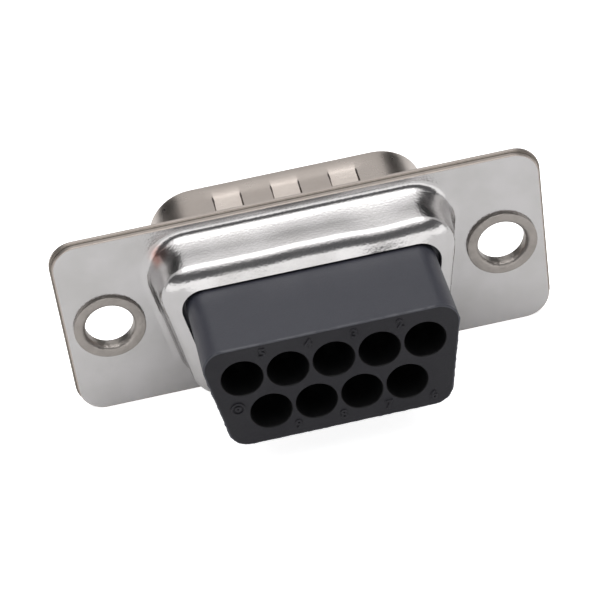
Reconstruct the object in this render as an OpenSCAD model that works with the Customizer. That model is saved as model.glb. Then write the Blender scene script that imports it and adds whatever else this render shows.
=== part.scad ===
// Nine-way D-sub plug housing for crimp contacts, empty of contacts.
// X runs along the flange, +Y points out of the mating side, Z is up with the five-way row on top.
// y = 0 is the panel face of the flange; the origin lies midway between the two mounting holes.

/* [Flange] */
// Length of the front flange along X, mm
flange_length = 30.81; // [30.4:0.05:31.2]
// Height of both flanges, mm
flange_height = 12.55; // [12.3:0.05:12.9]
// Corner radius of the flanges, mm
flange_corner = 1.65; // [1.2:0.05:3]
// How far the rear flange stops short of the front one at each end, mm
rear_flange_inset = 0.17; // [0:0.01:0.4]
// Sheet thickness of both shells, mm
sheet = 0.4; // [0.35:0.01:0.45]

/* [Mounting] */
// Distance between the two mounting holes, mm
hole_spacing = 24.99; // [24.86:0.01:25.12]
// Bore of each eyelet, mm
eyelet_bore = 3.05; // [2.9:0.05:3.2]
// Outside diameter of the eyelet head, mm
eyelet_head = 4.5; // [4.3:0.05:4.7]
// Thickness of the eyelet head behind the flange, mm
eyelet_head_thickness = 0.25; // [0.15:0.05:0.4]

/* [Front shell] */
// Inside width of the mating shell at its wide side, mm
mating_width = 16.92; // [16.8:0.02:17.04]
// Inside height of the mating shell, mm
mating_height = 8.36; // [8.24:0.02:8.48]
// Inside corner radius of the mating shell, mm
mating_corner = 2.6; // [2.2:0.1:2.9]
// How far the mating shell stands out of the panel face, mm
mating_depth = 5.4; // [5:0.05:6]
// Rounding of the outer edge of the mating shell, mm
mouth_round = 0.3; // [0.1:0.05:0.35]
// Width of each grounding dimple, mm
dimple_width = 1.75; // [1.4:0.05:2]
// Deepest point of each grounding dimple, mm
dimple_depth = 0.42; // [0.2:0.02:0.46]

/* [Rear shell] */
// Outside width of the rear collar where it leaves the flange, mm
collar_width = 19.1; // [18.9:0.05:19.3]
// Outside height of the rear collar where it leaves the flange, mm
collar_height = 11; // [10.7:0.05:11.1]
// How far the rear collar stands behind the panel face, mm
collar_depth = 4.25; // [4:0.05:4.6]
// How far the collar wall leans inwards over its depth, mm
collar_draft = 0.4; // [0.3:0.02:0.5]
// Width of the opening that the rear insulator stands out of, at its wide side, mm
opening_width = 16; // [15.8:0.05:16.2]
// Height of that opening, mm
opening_height = 7.55; // [7.5:0.05:7.8]
// Corner radius of that opening, mm
opening_corner = 1.35; // [1.2:0.05:1.8]

/* [Insulator] */
// Width of the rear insulator at its wide side, mm
block_width = 15.5; // [15.1:0.05:15.6]
// Height of the rear insulator, mm
block_height = 7.35; // [7.1:0.05:7.4]
// Corner radius of the rear insulator, mm
block_corner = 1.3; // [1.2:0.1:1.8]
// Distance of the rear face behind the panel face, mm
block_depth = 10.5; // [10:0.05:11.5]
// Distance between neighbouring contacts in a row, mm
contact_pitch = 2.77; // [2.74:0.01:2.8]
// Distance between the two contact rows, mm
row_spacing = 2.84; // [2.8:0.01:2.88]
// Diameter of each contact cavity at the rear face, mm
cavity_bore = 2.5; // [2.3:0.02:2.56]

/* [Hidden] */
$fn = 0;
$fa = 5;
$fs = 0.15;
eps = 0.01;
hair = 0.004;                  // how much thinner each face of a straight wall lies than the corners'
reach = 0.05;                  // how far a straight wall runs into the corner beside it
lap = 0.03;                    // how far the flat parts of a section run into its bends
$thin = 0;
side_slope = 10;               // slope of the D's two ends, degrees

tin = [0.72, 0.70, 0.67];
bright_tin = [0.80, 0.80, 0.78];
resin = [0.11, 0.11, 0.13];
brass_tin = [0.62, 0.58, 0.54];

// mounting
bore_r = eyelet_bore / 2;
barrel_r = bore_r + 0.325;     // outside of the eyelet's barrel
head_r = eyelet_head / 2;
flare_r = barrel_r + 0.35;     // the flared front end, flush with the panel face
flare_depth = 0.25;
rear_flange_y = -2 * sheet;

// front shell: the bend between flange and mating wall
bend_in = 0.2;
bend_out = bend_in + sheet;
wall_r = mating_corner + sheet;          // outside corner radius
outer_width = mating_width + 2 * sheet;
outer_height = mating_height + 2 * sheet;
front_c = d_centres(outer_width, outer_height, wall_r);
front_ring = 0.6;                        // flat ring swept with the bend, half of it in the flange

// dimples
dimple_far = 3.9;                        // where the wedge runs out
dimple_near = 1.2;                       // deepest point
dimple_root = 0.8;                       // where it steps back up
dimple_wall = 0.27;                      // metal left beside the wedge
dimples_top = [-3.7, 0, 3.7];
dimples_bottom = [-1.85, 1.85];

// rear shell
collar_r = 2.6;
collar_c = d_centres(collar_width, collar_height, collar_r);
base_out = 0.6;                          // concave radius outside, flange to wall
base_in = base_out + sheet;
shoulder_out = 0.8;                      // convex radius outside, wall to lip
shoulder_in = shoulder_out - sheet;
rear_ring = 0.2;                         // flat ring swept with the base bend
draft_angle = atan(collar_draft / (collar_depth - 2 * sheet));
wall_n = [cos(draft_angle), sin(draft_angle)];              // outward normal of the drafted wall
// centres of the two bends in the section, from the tangent lengths of their outer radii
base_c = [collar_r + base_out * tan(45 - draft_angle / 2), 2 * sheet + base_out];
shoulder_c = [collar_r - collar_draft - shoulder_out * tan(45 - draft_angle / 2),
              collar_depth - shoulder_out];

// insulators
joint = 1.9;                             // depth of the plane where the two halves meet
seat = 0.31;                             // where the front half bears on the bend
face_out = 0.6;                          // front face, ahead of the panel face
front_flange_w = mating_width + 0.56;
front_flange_h = mating_height + 0.56;
front_flange_r = mating_corner + 0.28;
boss_gap = 0.21;                         // clearance of the front face inside the shell
rear_flange_w = 16.6;
rear_flange_h = 8.7;
rear_flange_r = 1.85;
cavity_r = cavity_bore / 2;
ring_r = cavity_r - 0.15;                // retaining ring inside each cavity
ring_from = 2.6;
ring_to = 3.2;
pin_r = 0.85;                            // hole each pin passes through
pin_from = 0.6;
pin_chamfer = 0.2;

// [top centre x, bottom centre x, centre height above and below the middle]
function d_centres(w, h, r) =
    [w / 2 - r, w / 2 - r - (h - 2 * r) * tan(side_slope), h / 2 - r];

function row_x(n, i) = ((n - 1) / 2 - i) * contact_pitch;
contacts = [for (i = [0:4]) [row_x(5, i), row_spacing / 2],
            for (i = [0:3]) [row_x(4, i), -row_spacing / 2]];

// D outline, wide side up
module d_shape(w, h, r) {
    c = d_centres(w, h, r);
    cs = r * cos(side_slope);
    sn = r * sin(side_slope);
    for (s = [-1, 1]) {
        translate([s * c[0], c[2]]) circle(r);
        translate([s * c[1], -c[2]]) circle(r);
    }
    polygon([[c[0], c[2] + r], [-c[0], c[2] + r],
             [-c[0] - cs, c[2] - sn], [-c[1] - cs, -c[2] - sn],
             [-c[1], -c[2] - r], [c[1], -c[2] - r],
             [c[1] + cs, -c[2] - sn], [c[0] + cs, c[2] - sn]]);
}

// the same outline with its straight sides a hair inside the corners', for a hole in thin sheet
module d_soft(w, h, r) {
    c = d_centres(w, h, r);
    q = r - hair;
    cs = q * cos(side_slope);
    sn = q * sin(side_slope);
    for (s = [-1, 1]) {
        translate([s * c[0], c[2]]) circle(r);
        translate([s * c[1], -c[2]]) circle(r);
    }
    polygon([[c[0], c[2] + q], [-c[0], c[2] + q],
             [-c[0] - cs, c[2] - sn], [-c[1] - cs, -c[2] - sn],
             [-c[1], -c[2] - q], [c[1], -c[2] - q],
             [c[1] + cs, -c[2] - sn], [c[0] + cs, c[2] - sn]]);
}

// turns drawings with depth running backwards into the part's frame
module backwards() rotate([90, 0, 0]) children();

// solid D from depth a0 to depth a1 behind the panel face
module d_block(w, h, r, a0, a1)
    backwards() translate([0, 0, a0]) linear_extrude(a1 - a0) d_shape(w, h, r);

// carries a wall section round the D; x is the distance from the corner centres, y the depth.
// The straight lengths are a hair thinner and reach a little way into the corners.
module d_sweep(c) {
    side = norm([c[0] - c[1], 2 * c[2]]);
    corners = [[c[0], c[2], -side_slope, 90 + side_slope],
               [-c[0], c[2], 90, 90 + side_slope],
               [-c[1], -c[2], 180 + side_slope, 90 - side_slope],
               [c[1], -c[2], 270, 90 - side_slope]];
    // start, the way the wall faces, length
    runs = [[-c[0], c[2], 90, 2 * c[0]],
            [c[0], c[2], -side_slope, side],
            [c[1], -c[2], 270, 2 * c[1]],
            [-c[1], -c[2], 180 + side_slope, side]];
    backwards() {
        for (s = corners)
            translate([s[0], s[1], 0]) rotate_extrude(angle = s[3], start = s[2]) children();
        for (s = runs) {
            $thin = hair;
            translate([s[0], s[1], 0]) rotate([0, 0, s[2]]) translate([0, reach, 0])
                rotate([90, 0, 0]) linear_extrude(s[3] + 2 * reach) children();
        }
    }
}

// rounded rectangle
module plate_shape(w, h, r) {
    square([w - 2 * r, h], center = true);
    square([w, h - 2 * r], center = true);
    for (sx = [-1, 1], sy = [-1, 1]) translate([sx * (w / 2 - r), sy * (h / 2 - r)]) circle(r);
}

// the two mounting holes, cut from depth a0 to depth a1
module mount_cut(r, a0, a1)
    for (s = [-1, 1]) translate([s * hole_spacing / 2, -a0, 0]) backwards()
        cylinder(r = r, h = a1 - a0);

// quarter of a ring, between the two radii, in the quadrant given
module quarter_ring(r0, r1, qx, qy) intersection() {
    difference() {
        circle(r1);
        circle(r0);
    }
    translate([qx < 0 ? -r1 - 1 : 0, qy < 0 ? -r1 - 1 : 0]) square(r1 + 1);
}

// section of the straight mating wall, with the rounded mouth
module front_wall_section() difference() {
    translate([mating_corner + $thin, -mating_depth + $thin])
        square([sheet - 2 * $thin, mating_depth - bend_in - $thin]);
    translate([wall_r - mouth_round, -mating_depth + mouth_round]) difference() {
        translate([0, -mouth_round - eps]) square([mouth_round + eps, mouth_round + eps]);
        circle(mouth_round - $thin);
    }
}

// section of the bend from the mating wall into the flange
module front_bend_section() {
    translate([wall_r + bend_in, -bend_in])
        quarter_ring(bend_in + $thin, bend_out - $thin, -1, 1);
    translate([wall_r + bend_in, $thin]) square([front_ring - $thin, sheet - 2 * $thin]);
}

// one dimple in the upper wall: the bulge inside and the wedge cut outside
module dimple_bulge(x) {
    z = mating_height / 2;
    translate([x - dimple_width / 2 - dimple_wall, 0, 0]) rotate([90, 0, 90])
        linear_extrude(dimple_width + 2 * dimple_wall)
            polygon([[dimple_far + 0.1, z + sheet / 4], [dimple_far + 0.1, z],
                     [dimple_near + 0.1, z - dimple_depth], [dimple_near - 0.3, z - dimple_depth],
                     [dimple_root - 0.3, z], [dimple_root - 0.3, z + sheet / 4]]);
}

module dimple_wedge(x) {
    z = mating_height / 2 + sheet;
    translate([x - dimple_width / 2, 0, 0]) rotate([90, 0, 90])
        linear_extrude(dimple_width)
            polygon([[dimple_far, z], [dimple_near, z - dimple_depth],
                     [dimple_near - 0.15, z - dimple_depth], [dimple_root, z],
                     [dimple_root, z + 1], [dimple_far, z + 1]]);
}

module on_both_sides() {
    for (x = dimples_top) translate([x, 0, 0]) children();
    for (x = dimples_bottom) translate([x, 0, 0]) mirror([0, 0, 1]) children();
}

module front_shell() color(tin) {
    off = bend_in + front_ring / 2;
    difference() {
        union() {
            backwards() linear_extrude(sheet) difference() {
                plate_shape(flange_length, flange_height, flange_corner);
                d_shape(outer_width + 2 * off, outer_height + 2 * off, wall_r + off);
            }
            d_sweep(front_c) {
                front_wall_section();
                front_bend_section();
            }
            on_both_sides() dimple_bulge(0);
        }
        on_both_sides() dimple_wedge(0);
        mount_cut(barrel_r, -eps, sheet + eps);
        for (s = [-1, 1]) translate([s * hole_spacing / 2, 0, 0]) backwards()
            cylinder(r1 = flare_r, r2 = barrel_r, h = flare_depth);
    }
}

// sections of the rear collar: the bend at the base, the drafted wall and the shoulder.
// The flat parts are a hair thinner than the bends they run into.
module rear_base_section() {
    translate(base_c) intersection() {
        difference() {
            circle(base_in - $thin);
            circle(base_out + $thin);
        }
        translate([-$thin, -$thin])
            polygon([[0, 0], -2 * base_in * wall_n, [-2 * base_in, -2 * base_in], [0, -2 * base_in]]);
    }
}

module rear_ring_section()
    translate([base_c[0] - lap + $thin, sheet + $thin + hair])
        square([rear_ring + lap - 2 * $thin, sheet - 2 * ($thin + hair)]);

module rear_wall_section() {
    skin = ($thin + hair) * wall_n;
    past = (lap - $thin) * [-wall_n[1], wall_n[0]];
    polygon([base_c - base_out * wall_n - skin - past, shoulder_c + shoulder_out * wall_n - skin + past,
             shoulder_c + shoulder_in * wall_n + skin + past, base_c - base_in * wall_n + skin - past]);
}

module rear_shoulder_section() {
    translate(shoulder_c) intersection() {
        difference() {
            circle(shoulder_out - $thin);
            circle(shoulder_in + $thin);
        }
        translate([$thin, $thin])
            polygon([[0, 0], 2 * shoulder_out * wall_n, [2 * shoulder_out, 2 * shoulder_out],
                     [0, 2 * shoulder_out]]);
    }
}

// flat lip between the shoulder and the opening that the rear insulator stands out of
module rear_lip() {
    in = collar_r - shoulder_c[0] - lap;
    backwards() translate([0, 0, collar_depth - sheet + 2 * hair]) linear_extrude(sheet - 4 * hair)
        difference() {
            d_shape(collar_width - 2 * in, collar_height - 2 * in, collar_r - in);
            d_soft(opening_width, opening_height, opening_corner);
        }
}

module rear_shell() color(bright_tin) {
    off = base_out * tan(45 - draft_angle / 2) + rear_ring / 2;
    difference() {
        union() {
            backwards() translate([0, 0, sheet]) linear_extrude(sheet) difference() {
                plate_shape(flange_length - 2 * rear_flange_inset, flange_height, flange_corner);
                d_shape(collar_width + 2 * off, collar_height + 2 * off, collar_r + off);
            }
            d_sweep(collar_c) rear_ring_section();
            d_sweep(collar_c) rear_base_section();
            d_sweep(collar_c) rear_wall_section();
            d_sweep(collar_c) rear_shoulder_section();
            rear_lip();
        }
        mount_cut(barrel_r, sheet - eps, 2 * sheet + eps);
    }
}

module front_insulator() color(resin) difference() {
    union() {
        d_block(front_flange_w, front_flange_h, front_flange_r, seat, joint);
        d_block(mating_width - 2 * boss_gap, mating_height - 2 * boss_gap, mating_corner - boss_gap,
                -face_out, joint);
    }
    for (p = contacts) translate([p[0], 0, p[1]]) {
        translate([0, -pin_from, 0]) backwards() cylinder(r = ring_r, h = joint - pin_from + eps);
        translate([0, face_out + eps, 0]) backwards()
            cylinder(r = pin_r, h = face_out + pin_from + 2 * eps);
        translate([0, face_out, 0]) backwards()
            cylinder(r1 = pin_r + pin_chamfer, r2 = pin_r, h = pin_chamfer);
    }
}

module rear_insulator() color(resin) difference() {
    union() {
        d_block(rear_flange_w, rear_flange_h, rear_flange_r, joint, collar_depth - sheet);
        d_block(block_width, block_height, block_corner, joint, block_depth);
    }
    for (p = contacts) translate([p[0], 0, p[1]]) {
        translate([0, -ring_to, 0]) backwards() cylinder(r = cavity_r, h = block_depth - ring_to + eps);
        translate([0, -ring_from + eps, 0]) backwards()
            cylinder(r = ring_r, h = ring_to - ring_from + 2 * eps);
        translate([0, -joint + eps, 0]) backwards() cylinder(r = cavity_r, h = ring_from - joint + eps);
    }
}

// eyelet: headed at the rear, flared flush at the front
module eyelet() backwards() {
    head = 2 * sheet + eyelet_head_thickness;
    mouth = 0.3;
    soft = 0.1;
    rotate_extrude() difference() {
        union() {
            square([barrel_r, head]);
            translate([0, 2 * sheet]) square([head_r, eyelet_head_thickness - soft]);
            translate([0, 2 * sheet]) square([head_r - soft, eyelet_head_thickness]);
            translate([head_r - soft, head - soft]) circle(soft);
            polygon([[0, 0], [flare_r, 0], [barrel_r, flare_depth], [0, flare_depth]]);
        }
        square([bore_r, 3 * head], center = false);
        translate([0, -eps]) square([bore_r, 3 * head]);
        polygon([[0, -eps], [bore_r + flare_depth + eps, -eps], [bore_r, flare_depth], [0, flare_depth]]);
        translate([bore_r - eps, head - mouth]) difference() {
            square([mouth + eps, mouth + eps]);
            translate([mouth + eps, 0]) circle(mouth);
        }
    }
}

module eyelet_left() color(brass_tin) translate([-hole_spacing / 2, 0, 0]) eyelet();
module eyelet_right() color(brass_tin) translate([hole_spacing / 2, 0, 0]) eyelet();

front_shell();
rear_shell();
front_insulator();
rear_insulator();
eyelet_left();
eyelet_right();
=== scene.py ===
"""Nine-way D-sub plug housing for crimp contacts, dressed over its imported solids."""

import math

import bmesh
import bpy
from bpy.props import FloatProperty, FloatVectorProperty, IntProperty, PointerProperty, StringProperty
from mathutils import Matrix, Vector, noise
from mathutils.geometry import tessellate_polygon


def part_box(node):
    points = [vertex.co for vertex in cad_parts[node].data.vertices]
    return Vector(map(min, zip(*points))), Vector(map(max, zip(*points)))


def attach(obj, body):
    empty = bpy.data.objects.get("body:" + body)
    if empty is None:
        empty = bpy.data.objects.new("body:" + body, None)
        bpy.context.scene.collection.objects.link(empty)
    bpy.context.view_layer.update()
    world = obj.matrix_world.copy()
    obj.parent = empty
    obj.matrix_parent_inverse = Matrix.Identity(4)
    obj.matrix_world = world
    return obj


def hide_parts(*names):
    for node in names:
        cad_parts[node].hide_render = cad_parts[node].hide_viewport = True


bl_info = {
    "name": "D-sub crimp housing",
    "version": (1, 0, 0),
    "blender": (4, 5, 0),
    "location": "3D View > Sidebar > Connector",
    "description": "Shells, insulators, eyelets and finishes of a nine-way D-sub plug housing",
    "category": "Object",
}

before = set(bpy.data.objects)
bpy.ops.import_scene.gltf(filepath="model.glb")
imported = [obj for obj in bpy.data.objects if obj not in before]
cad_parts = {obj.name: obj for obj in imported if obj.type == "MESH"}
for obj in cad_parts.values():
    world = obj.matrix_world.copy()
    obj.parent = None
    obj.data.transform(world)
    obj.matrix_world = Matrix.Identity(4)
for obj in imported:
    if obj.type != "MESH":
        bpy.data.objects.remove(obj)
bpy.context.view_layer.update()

MM = 0.001
FRONT_LOW, FRONT_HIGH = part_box("front_shell")
REAR_LOW, REAR_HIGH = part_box("rear_shell")
NOSE_LOW, NOSE_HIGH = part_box("front_insulator")
BLOCK_LOW, BLOCK_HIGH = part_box("rear_insulator")
EYELET_LOW, EYELET_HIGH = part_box("eyelet_right")
EYELET_X = (EYELET_LOW.x + EYELET_HIGH.x) / 2
SIDE_SLOPE = math.radians(10)
CLEARANCE = 0.015  # millimetres between an eyelet and the sheet round it
DIMPLES_ABOVE, DIMPLES_BELOW = (-3.7, 0.0, 3.7), (-1.85, 1.85)  # millimetres along X
HOLE_STEPS = 48  # points round a contact hole
CARD_REACH = 0.42  # metres from the object to the cards round it
WHITE = (1, 1, 1, 1)


def length(name, description, default, high=0.1):
    """A size in metres that the sidebar shows."""
    return FloatProperty(name=name, description=description, default=default, min=0.0, max=high,
                         unit="LENGTH", subtype="DISTANCE", precision=5)


def outline(name, place, width, height, corner):
    """Width, height and corner radius of a D with its wide side up, in metres."""
    return FloatVectorProperty(name=name, description="Width, height and corner radius " + place,
                               default=(width, height, corner), min=0.0, max=0.1, unit="LENGTH", precision=5)


def colour(name, description, default):
    """A colour kept as its sRGB hex value."""
    return StringProperty(name=name, description=description, default=default)


def count(name, description, default):
    return IntProperty(name=name, description=description, default=default, min=1, max=40)


# ---- sizes and colours


class ShellSizes(bpy.types.PropertyGroup):
    flange_length: length("Flange length", "Length of the front flange", FRONT_HIGH.x - FRONT_LOW.x)
    flange_height: length("Flange height", "Height of both flanges", FRONT_HIGH.z - FRONT_LOW.z)
    flange_corner: length("Flange corner", "Corner radius of the flanges", 1.65 * MM)
    rear_length: length("Rear flange length", "Length of the rear flange", REAR_HIGH.x - REAR_LOW.x)
    sheet: length("Sheet", "Thickness of both drawn shells", -FRONT_LOW.y)
    hole_spacing: length("Hole spacing", "Distance between the mounting holes", 2 * EYELET_X)
    mating: outline("Mating shell", "inside the mating shell", 16.92 * MM, 8.36 * MM, 2.6 * MM)
    mating_depth: length("Mating depth", "How far the mating shell stands out", FRONT_HIGH.y)
    mouth_round: length("Mouth rounding", "Rounding of the mating shell's rim", 0.3 * MM)
    front_bend: length("Front bend", "Small radius between flange and mating shell", 0.2 * MM)
    dimple_width: length("Dimple width", "Width of a grounding dimple", 1.75 * MM)
    dimple_depth: length("Dimple depth", "Depth of a grounding dimple", 0.42 * MM)
    dimple_wall: length("Dimple wall", "Metal beside a dimple, seen from inside", 0.27 * MM)
    dimple_far: length("Dimple far end", "Where a dimple runs out", 3.9 * MM)
    dimple_near: length("Dimple near end", "Where a dimple is deepest", 1.2 * MM)
    dimple_root: length("Dimple root", "Where a dimple steps back up", 0.8 * MM)
    collar: outline("Collar", "of the rear collar at the flange", 19.1 * MM, 11.0 * MM, 2.6 * MM)
    collar_depth: length("Collar depth", "How far the collar's lip lies behind the panel face", -REAR_LOW.y)
    collar_draft: length("Collar draft", "How far the collar's wall leans in over its depth", 0.4 * MM)
    base_bend: length("Base bend", "Concave radius from flange to collar", 0.6 * MM)
    shoulder_bend: length("Shoulder bend", "Convex radius from collar to lip", 0.8 * MM)
    dent: length("Dent", "How far the wall sinks between the dimples", 0.09 * MM)
    opening: outline("Opening", "of the rear opening", 16.0 * MM, 7.55 * MM, 1.35 * MM)
    lip_fall: length("Lip fall", "How far the lip slopes from the shoulder to the opening", 0.21 * MM)
    die_roll: length("Die roll", "Soft edge that shearing leaves on the sheet", 0.09 * MM)


class InsulatorSizes(bpy.types.PropertyGroup):
    block: outline("Block", "of the rear insulator", 15.5 * MM, 7.35 * MM, 1.3 * MM)
    block_depth: length("Block depth", "Distance of the rear face behind the panel face", -BLOCK_LOW.y)
    block_edge: length("Block edge", "Rounding of the rear face's edge", 0.1 * MM)
    rear_flange: outline("Rear flange", "of the hidden flange behind the lip",
                         BLOCK_HIGH.x - BLOCK_LOW.x, BLOCK_HIGH.z - BLOCK_LOW.z, 1.85 * MM)
    joint: length("Joint", "Depth of the plane where the two insulators meet", -BLOCK_HIGH.y)
    nose: outline("Nose", "of the front insulator in the mating shell", 16.5 * MM, 7.94 * MM, 2.39 * MM)
    nose_face: length("Nose face", "How far the front face lies ahead of the panel face", NOSE_HIGH.y)
    front_flange: outline("Front flange", "of the front insulator's flange",
                          NOSE_HIGH.x - NOSE_LOW.x, NOSE_HIGH.z - NOSE_LOW.z, 2.88 * MM)
    seat: length("Seat", "Depth where the front insulator bears on the shell's bend", 0.31 * MM)
    pitch: length("Contact pitch", "Distance between neighbouring contacts in a row", 2.77 * MM)
    row_spacing: length("Row spacing", "Distance between the two contact rows", 2.84 * MM)
    cavity: length("Cavity bore", "Diameter of a contact cavity", 2.5 * MM)
    ring_bore: length("Ring bore", "Diameter inside a cavity's retaining ring", 2.2 * MM)
    pin_bore: length("Pin bore", "Diameter of the hole each pin passes through", 1.7 * MM)
    upper_row: count("Upper row", "Contacts in the upper row", 5)
    lower_row: count("Lower row", "Contacts in the lower row", 4)
    digit_height: length("Digit height", "Height of the moulded contact numbers", 0.62 * MM)
    digit_relief: length("Digit relief", "How far the numbers stand out of the rear face", 0.08 * MM)


class EyeletSizes(bpy.types.PropertyGroup):
    bore: length("Bore", "Bore of an eyelet", 3.05 * MM)
    barrel: length("Barrel", "Outside diameter of an eyelet's barrel", 3.7 * MM)
    head: length("Head", "Diameter of an eyelet's head", EYELET_HIGH.z - EYELET_LOW.z)
    head_back: length("Head back", "Depth of the head's outer face behind the panel face", -EYELET_LOW.y)
    flare: length("Flare", "Diameter of the flared front end", 4.4 * MM)
    flare_depth: length("Flare depth", "Depth of the flared front end", 0.25 * MM)


class FinishColours(bpy.types.PropertyGroup):
    bright_tin: colour("Bright tin", "Bright tin plate of the rear shell", "#BCBABA")
    dull_tin: colour("Dull tin", "Duller tin plate of the front shell", "#C2B9B2")
    sheared_edge: colour("Sheared edge", "Cut edge of a sheet, its plating thin", "#A39992")
    # painted shade: besides torn steel's brown, this colour darkens the crevice between the two sheets,
    # standing for its shadow
    fracture: colour("Fracture", "Torn half of a cut edge, its steel brown", "#666059")
    # painted shade: on the right side of each dimple this dark colour also stands for the step's shadow
    torn: colour("Torn steel", "Steel torn open at the side of a dimple", "#4A443E")
    stain: colour("Stain", "Handling stain on the collar's corner", "#A0685A")
    resin: colour("Resin", "Glass-filled PBT, where the tool is smooth", "#292A33")
    # painted shade: this colour is darker than the smooth resin's for the shade on faces turned from the
    # overhead light; their eroded finish shows in roughness and grain
    resin_face: colour("Resin face", "The same resin on its coarse spark-eroded faces", "#131218")
    resin_pale: colour("Resin scuffs", "Pale glass fibre at scuffed edges of the resin", "#3A3B40")
    # painted shade: the cavities take this near-black colour for the shade deep inside them
    bore: colour("Bore", "The resin inside a cavity, with little light on it", "#070708")
    eyelet: colour("Eyelet", "Tinned brass of the eyelets", "#A39D98")
    floor: colour("Floor", "Floor of the stage", "#F7F7F7")
    grey_card: colour("Grey card", "Dark room round the camera", "#68686A")
    black_card: colour("Black card", "Cards behind, at each side", "#161618")


class StageSettings(bpy.types.PropertyGroup):
    azimuth: FloatProperty(name="Azimuth", description="Turn of the camera about the vertical",
                           default=math.radians(-5.067), subtype="ANGLE")
    elevation: FloatProperty(name="Elevation", description="Height of the camera above the horizon",
                             default=math.radians(37.125), subtype="ANGLE")
    roll: FloatProperty(name="Roll", description="Turn of the camera about its own line of sight",
                        default=math.radians(-9.021), subtype="ANGLE")
    distance: length("Distance", "Camera to the point it aims at", 164.79 * MM, high=2.0)
    aim: FloatVectorProperty(name="Aim", description="Point at the middle of the picture",
                             default=(-0.584 * MM, -0.816 * MM, -1.142 * MM),
                             subtype="XYZ_LENGTH", unit="LENGTH")
    focal: FloatProperty(name="Focal length", description="On a sensor 36 mm wide, in millimetres",
                         default=158.43, unit="CAMERA")
    floor_drop: length("Floor drop", "Floor below the flange's lower edge", 0.02 * MM)


class Sizes:
    """A group's lengths in millimetres and its counts, under the names they have there."""

    def __init__(self, group):
        for name, prop in group.bl_rna.properties.items():
            value = getattr(group, name)
            if prop.type == "FLOAT":
                value = [v / MM for v in value] if prop.is_array else value / MM
            setattr(self, name, value)


# ---- materials


def srgb(code):
    """An sRGB hex value as linear colour with alpha."""
    values = [int(code[i:i + 2], 16) / 255 for i in (1, 3, 5)]
    return [v / 12.92 if v <= 0.04045 else ((v + 0.055) / 1.055) ** 2.4 for v in values] + [1.0]


def add(tree, kind, inputs=None, **settings):
    """Adds a node with its inputs, as values or as sockets to link, and its settings."""
    node = tree.nodes.new(kind)
    for key, value in settings.items():
        setattr(node, key, value)
    for key, value in (inputs or {}).items():
        if isinstance(value, bpy.types.NodeSocket):
            tree.links.new(value, node.inputs[key])
        else:
            node.inputs[key].default_value = value
    return node


def math_node(tree, operation, *values):
    return add(tree, "ShaderNodeMath", dict(enumerate(values)), operation=operation).outputs[0]


def remap(tree, value, low, high, to_low, to_high, kind="LINEAR"):
    """The value's range from low to high, carried to another range."""
    ends = {"From Min": low, "From Max": high, "To Min": to_low, "To Max": to_high}
    return add(tree, "ShaderNodeMapRange", {"Value": value, **ends}, interpolation_type=kind).outputs[0]


def blend(tree, share, first, second):
    """Colour between two others."""
    return add(tree, "ShaderNodeMix", {0: share, 6: first, 7: second}, data_type="RGBA").outputs[2]


def noise_field(tree, where, size, detail, roughness=0.5):
    """Noise whose features are this many millimetres wide, for coordinates in metres."""
    return add(tree, "ShaderNodeTexNoise", {"Vector": where, "Scale": 1 / (size * MM), "Detail": detail,
                                            "Roughness": roughness}).outputs[0]


def object_space(tree, scale=None):
    """Coordinates fixed to the object, drawn out along an axis where its scale is under one."""
    where = add(tree, "ShaderNodeTexCoord").outputs["Object"]
    if scale:
        where = add(tree, "ShaderNodeMapping", {"Vector": where, "Scale": scale}).outputs[0]
    return where


def new_material(name):
    material = bpy.data.materials.new(name)
    material.use_nodes = True
    material.node_tree.nodes.clear()
    return material, material.node_tree


def put_out(tree, shader, kind="ShaderNodeOutputMaterial"):
    tree.links.new(shader.outputs[0], add(tree, kind).inputs["Surface"])


def principled(tree, inputs, height=None, relief=0.0):
    """The material's shader, with a bump that rises by relief in millimetres."""
    shader = add(tree, "ShaderNodeBsdfPrincipled", inputs)
    if height is not None:
        bump = add(tree, "ShaderNodeBump", {"Strength": 1.0, "Distance": relief * MM, "Height": height})
        tree.links.new(bump.outputs["Normal"], shader.inputs["Normal"])
    put_out(tree, shader)


def tin_plate(name, base, worn, rough, grain, stain=None):
    """Tin electroplate over drawn steel: soft reflections, a fine orange peel, faint rolling lines.

    The two values of rough are its range, those of grain the peel's width and height in
    millimetres. A stain has its centre, its reach and its colour.
    """
    material, tree = new_material(name)
    where = object_space(tree)
    cloud = noise_field(tree, where, 2.5, 4.0, 0.6)
    # the real orange peel is finer, drawn coarser so that it shows without glitter
    width, relief = grain
    peel = noise_field(tree, where, width, 0.5)
    lines = noise_field(tree, object_space(tree, (0.06, 1.0, 1.0)), 0.2, 0.0)
    mottled = remap(tree, cloud, 0.35, 0.7, 0.0, 1.0)
    tint = blend(tree, mottled, srgb(base), srgb(worn))
    if stain:
        centre, reach, stain_colour = stain
        spot = add(tree, "ShaderNodeVectorMath", {0: where, 1: centre}, operation="DISTANCE")
        fade = remap(tree, spot.outputs["Value"], 0.2 * reach, reach, 1.0, 0.0, "SMOOTHSTEP")
        tint = blend(tree, math_node(tree, "MULTIPLY", fade, mottled), tint, srgb(stain_colour))
    principled(tree, {"Base Color": tint, "Metallic": 1.0,
                      "Roughness": remap(tree, cloud, 0.3, 0.7, *rough)},
               math_node(tree, "MULTIPLY_ADD", lines, 0.25, peel), relief)
    return material


def sheared_steel(name, base, plated, rough):
    """Sheared edge of plated sheet: burnished streaks across the thickness, little plating left."""
    material, tree = new_material(name)
    tears = noise_field(tree, object_space(tree, (1.0, 0.1, 1.0)), 0.25, 4.0)
    tint = blend(tree, tears, srgb(base), srgb(plated))
    principled(tree, {"Base Color": tint, "Metallic": 0.9, "Roughness": rough}, tears, 0.02)
    return material


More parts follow.
